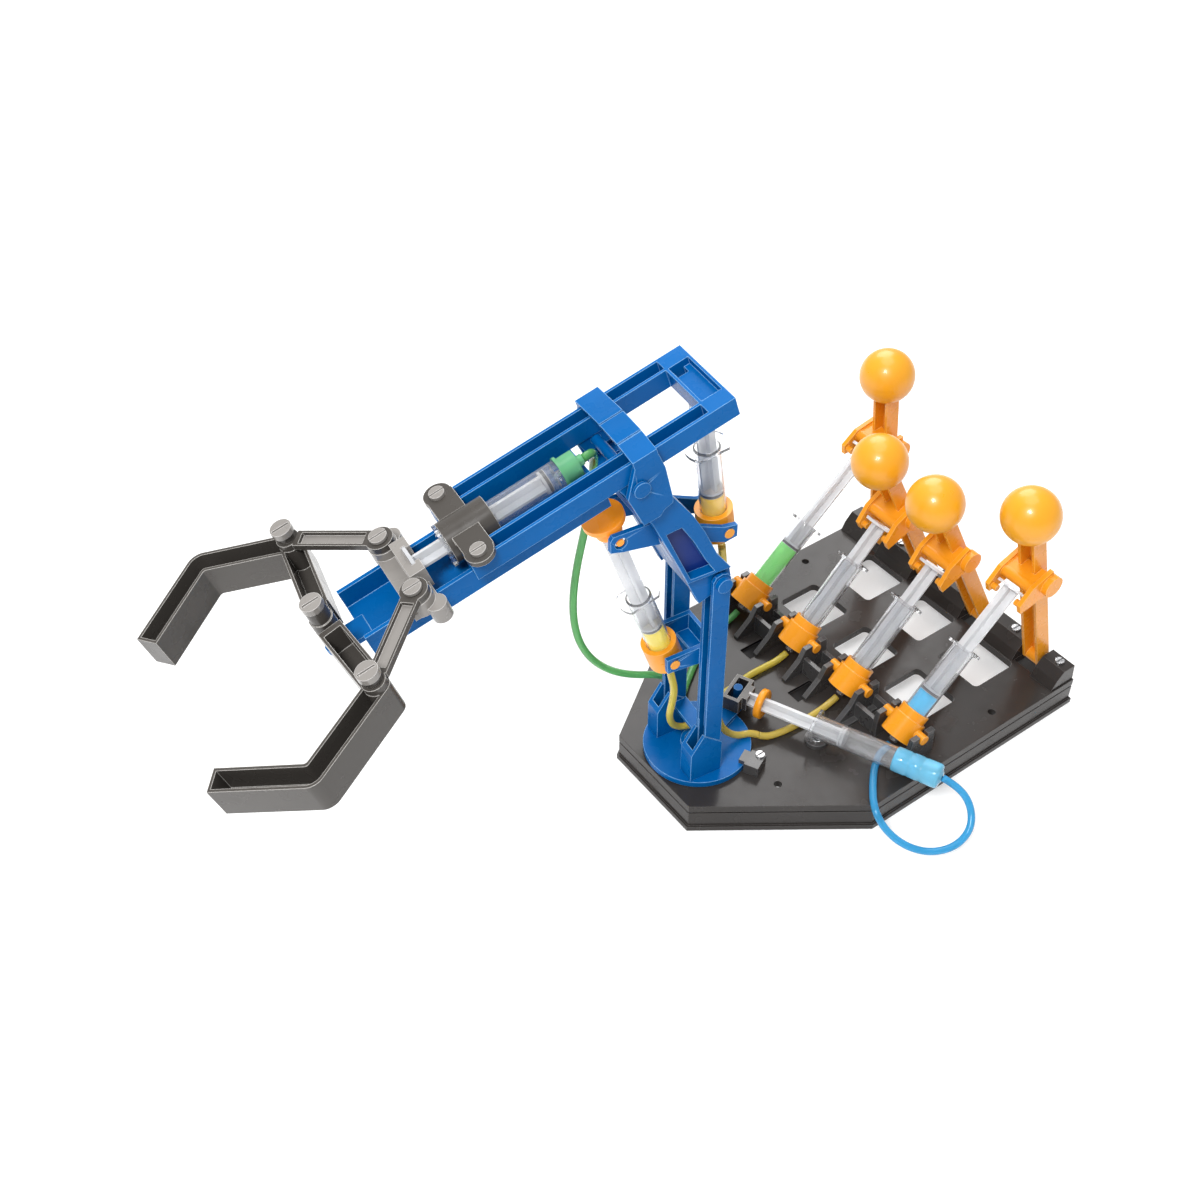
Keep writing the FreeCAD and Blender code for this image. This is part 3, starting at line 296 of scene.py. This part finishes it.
def plated_steel():
    """Bright plating with fine, uneven gloss."""
    material, tree, shader = new_material("plated_steel")
    tint = blend_colours(tree, spread(tree, noise(tree, 300), 0.0, 1.0), (0.42, 0.42, 0.43),
                         (0.72, 0.72, 0.73))
    tree.links.new(tint, shader.inputs["Base Color"])
    shader.inputs["Metallic"].default_value = 1.0
    tree.links.new(spread(tree, noise(tree, 900), 0.16, 0.34), shader.inputs["Roughness"])
    normal, _ = rounded_edges(tree, 0.0003)
    bump = node(tree, "ShaderNodeBump")
    bump.inputs["Strength"].default_value = 0.3
    bump.inputs["Distance"].default_value = 0.00005
    tree.links.new(noise(tree, 4000, 1.0), bump.inputs["Height"])
    tree.links.new(normal, bump.inputs["Normal"])
    tree.links.new(bump.outputs["Normal"], shader.inputs["Normal"])
    return material


def floor_paper():
    """Nearly white paper that also gives off light, so that it stays pale under the object."""
    material, tree, shader = new_material("floor_paper")
    tint = blend_colours(tree, spread(tree, noise(tree, 3), 0.0, 1.0), (0.60, 0.60, 0.60),
                         (0.63, 0.63, 0.63))
    tree.links.new(tint, shader.inputs["Base Color"])
    shader.inputs["Roughness"].default_value = 0.8
    shader.inputs["Emission Color"].default_value = (1, 1, 1, 1)
    shader.inputs["Emission Strength"].default_value = 0.44
    return material


LIQUIDS = {"green": (0.16, 0.66, 0.12), "yellow": (0.93, 0.76, 0.0), "amber": (0.86, 0.56, 0.0),
           "blue": (0.0, 0.42, 0.72)}
BLUE = moulded("blue_plastic", (0.0, 0.112, 0.37), (0.30, 0.58, 0.92), 0.28, edge_highlight_share=0.9,
               grain=0.000004, specular=0.11)
# Darker copy of the arm's blue for the cheek pockets' floors: painted shade in the recess.
PAINTED_SHADE_BLUE = moulded("shaded_blue", (0.006, 0.030, 0.20), (0.02, 0.10, 0.40), 0.40, grain=0.00002,
                    specular=0.2)
CHARCOAL = moulded("charcoal_plastic", (0.036, 0.032, 0.030), (0.17, 0.16, 0.155), 0.22,
                   edge_highlight_share=0.5, grain=0.00001, coat=0.06, specular=0.22)
RACK = moulded("rack_plastic", (0.060, 0.058, 0.058), (0.24, 0.24, 0.24), 0.28, edge_highlight_share=0.5,
               grain=0.00003, coat=0.25)
# ORANGE gives off a little light (glow): painted light that brightens it.
ORANGE = moulded("orange_plastic", (0.78, 0.29, 0.012), (1.0, 0.66, 0.22), 0.26, shade=0.84,
                 grain=0.00001, coat=0.15, specular=0.3, glow=0.09)
BALL = moulded("ball_plastic", (0.80, 0.345, 0.010), (1.0, 0.6, 0.15), 0.36, shade=0.9,
               edge_highlight_share=0.0, grain=0.000006, coat=0.25)
GREY = moulded("gripper_plastic", (0.062, 0.056, 0.050), (0.62, 0.60, 0.57), 0.24, shade=0.92,
               edge_highlight_share=1.0, grain=0.000003, coat=0.12, specular=0.38)
# CAP gives off more light (glow): painted light that keeps the lift cap bright in the forearm's
# shade.
CAP = moulded("cap_plastic", (0.86, 0.26, 0.008), (1.0, 0.62, 0.2), 0.3, grain=0.00001, coat=0.1,
              glow=0.42)
# Pale grey of the crosshead, pins and screws; on the links' up-facing floors it is a painted
# highlight.
PALE_GREY = moulded("slider_plastic_and_painted_highlight", (0.25, 0.235, 0.22), (0.72, 0.70, 0.68), 0.26, shade=0.88,
                    edge_highlight_share=0.8, grain=0.00002, coat=0.35)
STEEL = plated_steel()
BARREL = clear("barrel_plastic", (0.95, 0.97, 1.0), 0.05, 1.3, 0.93)
PLUNGER = clear("plunger_plastic", (0.80, 0.81, 0.83), 0.14, 1.35, 0.45)
CAP_GREEN = clear("cap_green", (0.20, 0.58, 0.30), 0.1, 1.35, 0.5)
HUB_BLUE = clear("hub_blue", (0.22, 0.66, 0.92), 0.08, 1.35, 0.55)
# Near black for the insides of the deck's blind pockets: painted shade in the recess.
PAINTED_SHADE_BLACK = moulded("pocket_painted_shade", (0.010, 0.009, 0.009), (0.12, 0.11, 0.11), 0.4, specular=0.1)
RUBBER = moulded("seal_rubber", (0.03, 0.03, 0.03), (0.10, 0.10, 0.10), 0.5, edge_highlight_share=0.3)
# The liquids give off light (glow): painted light that keeps them bright behind the barrels.
FLUID = {name: clear(name + "_liquid", colour, 0.04, 1.2, 0.12, glow=0.22)
         for name, colour in LIQUIDS.items()}
TUBE_COLOURS = {"green": (0.13, 0.45, 0.14), "yellow": (0.80, 0.66, 0.10),
                "amber": (0.66, 0.50, 0.10), "blue": (0.05, 0.36, 0.66)}
TUBE = {name: clear(name + "_tube", colour, 0.08, 1.35, 0.45)
        for name, colour in TUBE_COLOURS.items()}

NODE_MATERIALS = [
    (BLUE, ["turntable_disc", "tower_frame", "upper_arm_frame", "forearm_frame", "front_beam",
            "shoulder_pin", "elbow_pin"]),
    (CHARCOAL, ["base_deck", "base_skirt", "lever_housing"]),
    (RACK, ["syringe_rack", "turntable_clip"]),
    (ORANGE, ["lever_1", "lever_2", "lever_3", "lever_4", "master_1_collar", "master_2_collar",
              "master_3_collar", "master_4_collar", "lift_cup", "reach_cup"]),
    (CAP, ["lift_cap"]),
    (GREY, ["finger_left", "finger_right", "wrist_clamp", "link_left", "link_right",
            "swing_clip"]),
    (PALE_GREY, ["crosshead", "finger_pivot_pin", "clamp_screws", "crosshead_screws"]),
    (STEEL, ["lever_axle", "base_screws"]),
    (BARREL, ["master_1_barrel", "master_2_barrel", "master_3_barrel", "master_4_barrel",
              "lift_barrel", "reach_barrel", "gripper_barrel", "swing_barrel"]),
    (PLUNGER, ["master_1_plunger", "master_2_plunger", "master_3_plunger", "master_4_plunger",
               "lift_plunger", "reach_plunger", "swing_plunger", "gripper_plunger"]),
    (CAP_GREEN, ["gripper_cap"]),
]


def paint_nodes():
    """One material for each node of the frame, except the tubes."""
    for material, names in NODE_MATERIALS:
        for name in names:
            piece = NODES[name]
            piece.data.materials.clear()
            piece.data.materials.append(material)


# Meshes

def add_mesh(name, shape, material):
    """Smooth object from a bmesh, linked and painted."""
    mesh = bpy.data.meshes.new(name)
    shape.to_mesh(mesh)
    shape.free()
    for face in mesh.polygons:
        face.use_smooth = True
    piece = bpy.data.objects.new(name, mesh)
    piece.data.materials.append(material)
    bpy.context.scene.collection.objects.link(piece)
    return piece


def sweep(path, radius, sides=16):
    """Closed tube along a list of points."""
    shape = bmesh.new()
    rings = []
    across = None
    for i, point in enumerate(path):
        ahead = (path[min(i + 1, len(path) - 1)] - path[max(i - 1, 0)]).normalized()
        across = ahead.orthogonal() if across is None else across - ahead * across.dot(ahead)
        across = across.normalized()
        third = ahead.cross(across)
        turns = [2 * math.pi * k / sides for k in range(sides)]
        rings.append([shape.verts.new(point + (across * math.cos(t) + third * math.sin(t)) * radius)
                      for t in turns])
    for low, high in zip(rings, rings[1:]):
        for k in range(sides):
            shape.faces.new((low[k], low[(k + 1) % sides], high[(k + 1) % sides], high[k]))
    shape.faces.new(rings[0][::-1])
    shape.faces.new(rings[-1])
    return shape


def metres(outline):
    """Outline of (radius, height) points, from millimetres."""
    return [(radius * MM, height * MM) for radius, height in outline]


def lathe(profile, place, way, sides=48):
    """Closed solid turned round an axis. The profile is (radius, height) in metres."""
    shape = bmesh.new()
    turn = way.to_track_quat("Z", "Y").to_matrix()
    rings = []
    for radius, height in profile:
        if radius == 0:
            rings.append([shape.verts.new(place + turn @ Vector((0, 0, height)))])
            continue
        angles = [2 * math.pi * k / sides for k in range(sides)]
        around = [Vector((radius * math.cos(t), radius * math.sin(t), height)) for t in angles]
        rings.append([shape.verts.new(place + turn @ corner) for corner in around])
    for low, high in zip(rings, rings[1:]):
        for k in range(sides):
            following = k + 1
            ring = [low[k % len(low)], low[following % len(low)],
                    high[following % len(high)], high[k % len(high)]]
            shape.faces.new(list(dict.fromkeys(ring)))
    return shape


# Tubes. The routes are those that the frame was built with, in millimetres: GREEN_ARM in the
# forearm's frame, GREEN_LOOP and the TOWER routes in the turntable's, the others in the base's.
# One smooth spline runs along all of a tube's stretches.

GREEN_ARM = [(-65.6, 0, -5), (-62.2, 0.6, -5.2), (-59.8, 3, -8.2), (-59.6, 6.5, -15),
             (-61, 10, -24), (-62, 14, -34)]
GREEN_LOOP = [(-51.5, 25, 184), (-52.5, 28, 170), (-55.5, 30, 150), (-57.5, 31, 130),
              (-57, 31.5, 112), (-53.5, 32, 95), (-46, 32, 79), (-34.5, 32, 65.5), (-21, 32, 56),
              (-7, 32, 49.5), (4, 31.5, 40), (9.5, 30, 27.5)]
GREEN_BASE = [(21, 37, 20.9), (30, 43.5, 20.9), (41.5, 51.5, 20.9), (53.5, 58.5, 20.9),
              (65.5, 63, 20.9), (76.5, 64.2, 20.9), (82.01, 64.2, 24.37)]
YELLOW_TOWER = [(-19.6, 0, 92.6), (-17.5, 0.5, 82), (-14.6, 1.5, 70), (-14.8, 3.3, 57),
                (-15.2, 5.5, 45), (-11.5, 6.5, 34.5), (-2.5, 7.5, 28.2), (6, 10.5, 26),
                (12, 16.5, 24.9), (18.5, 22.5, 24.7)]
YELLOW_BASE = [(33, 20, 20.9), (43, 20.4, 20.9), (54.5, 22.2, 20.9), (66, 22, 20.9),
               (76.5, 21.4, 20.9), (82.8, 21.4, 23.54)]
AMBER_TOWER = [(8.5, 0, 161), (10.5, 0.5, 148), (10.5, 0, 131), (8.5, -1, 113), (7.5, -1.5, 95),
               (8, -2.5, 77), (7, -4, 59), (8, -5.5, 45), (11, -8, 33), (19, -10, 25.6),
               (28, -11, 24.7)]
AMBER_BASE = [(32.5, -19, 20.9), (42, -21.5, 20.9), (53, -22.4, 20.9), (65, -22.2, 20.9),
              (76.5, -21.4, 20.9), (82.81, -21.4, 23.52)]
BLUE_LOOP = [(83.66, -101.47, 30), (88, -110.5, 27.5), (88, -120, 21), (82, -127, 14),
             (71, -127.5, 8), (59, -121, 5.5), (50, -110.5, 8), (45.5, -99.5, 14.5),
             (46.5, -90, 21.5), (54.5, -80.5, 22.6), (63.5, -72, 21.4), (72, -66, 21),
             (77.5, -64.3, 21.4), (82.45, -64.2, 23.89)]


def spline_points(name, route):
    """Points along a smooth spline whose control points are the route."""
    curve = bpy.data.curves.new(name, "CURVE")
    curve.dimensions = "3D"
    curve.resolution_u = 10
    spline = curve.splines.new("NURBS")
    spline.points.add(len(route) - 1)
    for control, place in zip(spline.points, route):
        control.co = (*place, 1)
    spline.order_u = 3
    spline.use_endpoint_u = True
    holder = bpy.data.objects.new(name, curve)
    bpy.context.scene.collection.objects.link(holder)
    bpy.context.view_layer.update()
    mesh = bpy.data.meshes.new_from_object(holder)
    points = [vertex.co.copy() for vertex in mesh.vertices]
    bpy.data.objects.remove(holder)
    return points


def nearest(points, place):
    """Index of the point that is nearest to a place."""
    return min(range(len(points)), key=lambda i: (points[i] - place).length)


def add_tube(colour, stretches):
    """One tube. A stretch is its name, its frame node, its route, the two bodies that it runs
    between, the two places where it leaves the first and joins the second, and its length. The
    bodies, the two places and the length are not used."""
    route = [point for stretch in stretches for point in stretch[2]]
    points = spline_points(colour + "_line", route)
    ends = [0]
    for before, after in zip(stretches, stretches[1:]):
        ends.append(nearest(points, (before[2][-1] + after[2][0]) / 2))
    ends.append(len(points) - 1)
    for (name, cad, _, bodies, span, length), first, last in zip(stretches, ends, ends[1:]):
        path = points[first:last + 1]
        piece = add_mesh(name, sweep(path, TUBE_RADIUS * MM), TUBE[colour])
        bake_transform(piece)
        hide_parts(cad)


def add_tubes():
    """The four liquid tubes."""
    first, second = [forearm(*p) for p in GREEN_ARM], [arm(*p) for p in GREEN_LOOP]
    third = [base(*p) for p in GREEN_BASE]
    add_tube("green", [
        ("green_tube_arm", "tube_green_arm", first, ("forearm", "upper_arm"),
         (first[2], first[5]), 0.052),
        ("green_tube_loop", "tube_green_loop", second, ("upper_arm", "turntable"),
         (second[0], second[4]), 0.205),
        ("green_tube_base", "tube_green_base", third, ("turntable", "root"),
         (base(14, 30, 27), base(26, 41, 21)), 0.076),
    ])
    first, second = [arm(*p) for p in YELLOW_TOWER], [base(*p) for p in YELLOW_BASE]
    add_tube("yellow", [
        ("yellow_tube_tower", "tube_yellow_tower", first, ("lift_barrel", "turntable"),
         (first[0], first[2]), 0.104),
        ("yellow_tube_base", "tube_yellow_base", second, ("turntable", "root"),
         (base(24, 19, 24), base(36, 20, 21)), 0.056),
    ])
    first, second = [arm(*p) for p in AMBER_TOWER], [base(*p) for p in AMBER_BASE]
    add_tube("amber", [
        ("amber_tube_tower", "tube_amber_tower", first, ("upper_arm", "turntable"),
         (first[0], first[4]), 0.152),
        ("amber_tube_base", "tube_amber_base", second, ("turntable", "root"),
         (base(26, -17, 24), base(36, -20, 21)), 0.054),
    ])
    first = [base(*p) for p in BLUE_LOOP]
    add_tube("blue", [
        ("blue_tube_loop", "tube_blue", first, ("swing_barrel", "root"),
         (first[0], first[3]), 0.14),
    ])


# Liquids and seals

# Liquid, syringe, and the height in millimetres of its seal's lower face over the barrel's pivot
SYRINGES = [
    ("green", "master_1", 35.35), ("yellow", "master_2", 6.36), ("amber", "master_3", 5.63),
    ("blue", "master_4", 21.48), ("yellow", "lift", 20.87), ("amber", "reach", 17.25),
]


def add_liquids():
    """Liquid between each barrel's floor and its plunger's seal."""
    for colour, name, seal in SYRINGES:
        pivot = Vector(JOINTS[name + "_pivot"]["pos_m"])
        way = Vector(JOINTS[name + "_stroke"]["axis"]).normalized()
        low, high = (BARREL_FLOOR + END_GAP) * MM, (seal - END_GAP) * MM
        radius = (BORE_RADIUS - CLEARANCE) * MM
        levels = [low + (high - low) * k / 12 for k in range(13)]
        profile = [(0, low)] + [(radius, level) for level in levels] + [(0, high)]
        liquid = add_mesh(name + "_liquid", lathe(profile, pivot, way), FLUID[colour])
        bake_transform(liquid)


def add_seals():
    """Dark rubber seal at the foot of each plunger that is easily seen."""
    outline = [(4.4, 0), (5.2, 0), (5.6, 0.3), (5.6, 1.3), (5.2, 1.6), (4.4, 1.6), (4.4, 0)]
    profile = metres(outline)
    for _, name, seal in SYRINGES:
        pivot = Vector(JOINTS[name + "_pivot"]["pos_m"])
        way = Vector(JOINTS[name + "_stroke"]["axis"]).normalized()
        ring = add_mesh(name + "_seal", lathe(profile, pivot + way * seal * MM, way), RUBBER)
        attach(ring, name + "_plunger")
    place = forearm(-GRIPPER_SEAL, 0, -5)
    way = (forearm(-GRIPPER_SEAL - 1, 0, -5) - place).normalized()
    ring = add_mesh("gripper_seal", lathe(profile, place, way), RUBBER)
    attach(ring, "crosshead")


def add_balls():
    """Smooth balls over the levers' ends, each with the fine line where its halves meet."""
    steps, cover, groove_depth, groove_width = 64, 0.1, 0.12, 0.25
    for number in range(1, 5):
        _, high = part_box("lever_%d" % number)
        joint = JOINTS["lever_%d_swing" % number]
        top = high.z - BALL_RADIUS * MM
        reach = LEVER_LENGTH * MM
        axle = Vector(joint["pos_m"])
        lean = -math.sqrt(max(0.0, reach ** 2 - (top - axle.z) ** 2))
        centre = Vector((axle.x + lean, axle.y, top))
        profile = []
        for k in range(steps + 1):
            angle = -math.pi / 2 + math.pi * k / steps
            groove = groove_depth * math.exp(-((angle * BALL_RADIUS) / groove_width) ** 2)
            radius = (BALL_RADIUS + cover - groove) * MM
            across = radius * math.cos(angle) if 0 < k < steps else 0
            profile.append((across, radius * math.sin(angle)))
        ball = add_mesh("lever_%d_ball" % number, lathe(profile, centre, centre - axle, 96), BALL)
        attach(ball, "lever_%d" % number)


def add_turning_syringe_trim():
    """Tinted hub on the lying syringe's foot, and the orange ring behind its jaw."""
    pivot = Vector(JOINTS["swing_pivot"]["pos_m"])
    way = Vector(JOINTS["swing_stroke"]["axis"]).normalized()
    outline = [(0, -71.2), (2.9, -71.2), (3.3, -70.9), (4.2, -70.4), (6.1, -70.2), (6.7, -69.3),
               (6.9, -68.2), (6.9, -61.4), (6.65, -61.0), (6.65, -59.6), (6.9, -59.2),
               (6.9, -54.2), (6.65, -53.8), (6.65, -52.4), (6.9, -52.0), (6.9, -45.4),
               (6.75, -44.8), (6.5, -44.6), (6.5, -46), (6.5, -58.2), (0, -58.3)]
    hub = add_mesh("swing_hub", lathe(metres(outline), pivot, way, 64), HUB_BLUE)
    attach(hub, "swing_barrel")
    jaw = NODES["swing_clip"]
    corners = [jaw.matrix_world @ Vector(corner) for corner in jaw.bound_box]
    near = min((corner - pivot).dot(way) for corner in corners)
    outline = [(4.9, -3.8), (8.2, -3.8), (8.6, -3.4), (8.6, -0.6), (8.2, -0.2), (4.9, -0.2),
               (4.9, -3.8)]
    ring = add_mesh("swing_ring", lathe(metres(outline), pivot + way * near, way, 64), ORANGE)
    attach(ring, "swing_plunger")


# Nodes replaced by copies with finer shapes

def cut_shape(name, source, body, material, cutters):
    """Copy of a node with pockets and grooves cut in it. A cutter is the corners of one end and
    then of the other."""
    piece = bpy.data.objects.new(name, NODES[source].data.copy())
    bpy.context.scene.collection.objects.link(piece)
    shape = bmesh.new()
    for corners in cutters:
        count = len(corners) // 2
        low = [shape.verts.new(corner) for corner in corners[:count]]
        high = [shape.verts.new(corner) for corner in corners[count:]]
        shape.faces.new(low[::-1])
        shape.faces.new(high)
        for k in range(count):
            shape.faces.new((low[k], low[(k + 1) % count], high[(k + 1) % count], high[k]))
    bmesh.ops.recalc_face_normals(shape, faces=shape.faces)
    tools = bpy.data.meshes.new(name + "_tools")
    shape.to_mesh(tools)
    shape.free()
    tool = bpy.data.objects.new(name + "_tools", tools)
    bpy.context.scene.collection.objects.link(tool)
    carve = piece.modifiers.new("carve", "BOOLEAN")
    carve.operation = "DIFFERENCE"
    carve.solver = "EXACT"
    carve.object = tool
    bpy.context.view_layer.update()
    finished = piece.evaluated_get(bpy.context.evaluated_depsgraph_get())
    carved = bpy.data.meshes.new_from_object(finished)
    piece.modifiers.clear()
    piece.data = carved
    bpy.data.objects.remove(tool)
    carved.materials.clear()
    carved.materials.append(material)
    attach(piece, body)
    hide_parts(source)
    return piece


def cutter(frame_of, corners, low, high):
    """Upright cutter: corners (x, y) of a frame between two of its heights, in millimetres."""
    return [frame_of(x, y, low) for x, y in corners] + [frame_of(x, y, high) for x, y in corners]


def rectangle(x_low, x_high, y_low, y_high):
    """The four corners of a rectangle."""
    return [(x_low, y_low), (x_high, y_low), (x_high, y_high), (x_low, y_high)]


def add_upper_arm():
    """The arm's cheeks are hollowed towards their front edge, and seams cross the strap. The
    pockets' floors are painted a darker blue, a painted shade.
    """
    pocket = [(-36.5, 203), (-28.2, 183), (-22.6, 169.8), (-9.5, 169.8), (-14.8, 178.5),
              (-21.6, 192.5), (-28.5, 204)]
    pocket_floor, past_cheek = 16.8, 23
    seam_floor, above_strap, seam_width = 4.4, 7, 0.8
    cutters = []
    for side in (1, -1):
        cutters.append([arm(x, side * pocket_floor, z) for x, z in pocket]
                       + [arm(x, side * past_cheek, z) for x, z in pocket])
    for y in (-14.4, 1.2):
        seam = rectangle(-54.5, -39.5, y, y + seam_width)
        cutters.append(cutter(forearm, seam, seam_floor, above_strap))
    shell = cut_shape("upper_arm_shell", "upper_arm_frame", "upper_arm", BLUE,
                      cutters)
    # Painted shade: the pockets' floors get the darker blue.
    shell.data.materials.append(PAINTED_SHADE_BLUE)
    straight = Matrix.Rotation(math.radians(-ARM_YAW), 3, "Z")
    for face in shell.data.polygons:
        across = abs((straight @ face.center).y) / MM
        if abs(across - pocket_floor) < 0.05:
            face.material_index = 1


def add_deck():
    """The deck has two small blind pockets between the master syringes, painted near black
    inside, a painted shade.
    """
    near, far, floor, skin = 66, 82.5, 16.6, 0.1
    rows = ((-8.5, 0.5), (33.5, 42.5))
    cutters = [cutter(base, rectangle(near, far, *row), floor, DECK_TOP + 4) for row in rows]
    shell = cut_shape("deck_shell", "base_deck", "root", CHARCOAL, cutters)
    shell.data.materials.append(PAINTED_SHADE_BLACK)
    for face in shell.data.polygons:
        x, y, z = face.center / MM
        in_depth = floor - skin < z < DECK_TOP - skin
        in_row = any(low - skin < y < high + skin for low, high in rows)
        if in_depth and in_row and near - skin < x < far + skin:
            face.material_index = 1


def add_tower():
    """The posts' shoes are hollow in front of the posts."""
    near, far, floor, above_shoe = -16.2, -9.2, 26, 60
    rows = ((14.4, 20.6), (-20.6, -14.4))
    cutters = [cutter(arm, rectangle(near, far, *row), floor, above_shoe) for row in rows]
    cut_shape("tower_shell", "tower_frame", "turntable", BLUE, cutters)


def upright_edges(shape, length, turn):
    """Edges square to the forearm's top with a length in millimetres and a turn in degrees."""
    found = []
    for edge in shape.edges:
        way = edge.verts[1].co - edge.verts[0].co
        if len(edge.link_faces) != 2 or abs(way.length / MM - length) > 0.1:
            continue
        if abs(way.normalized().dot(FOREARM_UP)) < 0.999:
            continue
        if abs(math.degrees(edge.calc_face_angle_signed()) - turn) < 1.5:
            found.append(edge)
    return found


def add_gripper_piece(name, body, bends, pale):
    """Copy of a body's gripper node with rounded bends. A bend is its turn in degrees, then its
    edge's length and its set-back in millimetres. Pale tells by height and slope which faces
    are paler: on the fingers the pin heads, on the links the up-facing floors, painted pale as
    a painted highlight."""
    shape = bmesh.new()
    shape.from_mesh(NODES[body].data)
    bmesh.ops.remove_doubles(shape, verts=shape.verts, dist=1e-6)
    bmesh.ops.dissolve_limit(shape, angle_limit=0.002, verts=shape.verts, edges=shape.edges)
    for turn, length, set_back in bends:
        bmesh.ops.bevel(shape, geom=upright_edges(shape, length, turn), offset=set_back * MM,
                        offset_type="OFFSET", segments=6, profile=0.5, affect="EDGES",
                        clamp_overlap=True)
    shape.normal_update()
    for face in shape.faces:
        height, slope = above_forearm(face.calc_center_median()), face.normal.dot(FOREARM_UP)
        face.material_index = int(pale(height, slope))
    piece = add_mesh(name, shape, GREY)
    piece.data.materials.append(PALE_GREY)
    if "custom_normal" in piece.data.attributes:
        piece.data.attributes.remove(piece.data.attributes["custom_normal"])
    piece.data.set_sharp_from_angle(angle=math.radians(30))
    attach(piece, body)
    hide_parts(body)


def add_gripper():
    """Fingers with pale pin heads, and links whose up-facing floors are painted pale, a painted
    highlight.
    """
    bends = [(64.9, 17, 4.5), (-64.9, 13, 4.0), (64.9, 13, 1.2), (-64.9, 17, 1.2),
             (67.8, 17, 3.0)]
    head_foot, level = 5.35, 0.99
    for side in ("left", "right"):
        add_gripper_piece("finger_%s_shell" % side, "finger_" + side, bends,
                          lambda height, slope: height > head_foot)
        # Painted highlight: the links' up-facing floors are paler.
        add_gripper_piece("link_%s_shell" % side, "link_" + side, [],
                          lambda height, slope: slope > level and height < 0)


add_camera()
add_tubes()
add_stage()
paint_nodes()
add_liquids()
add_seals()
add_balls()
add_turning_syringe_trim()
add_upper_arm()
add_deck()
add_tower()
add_gripper()
bpy.context.scene.view_settings.view_transform = "Standard"
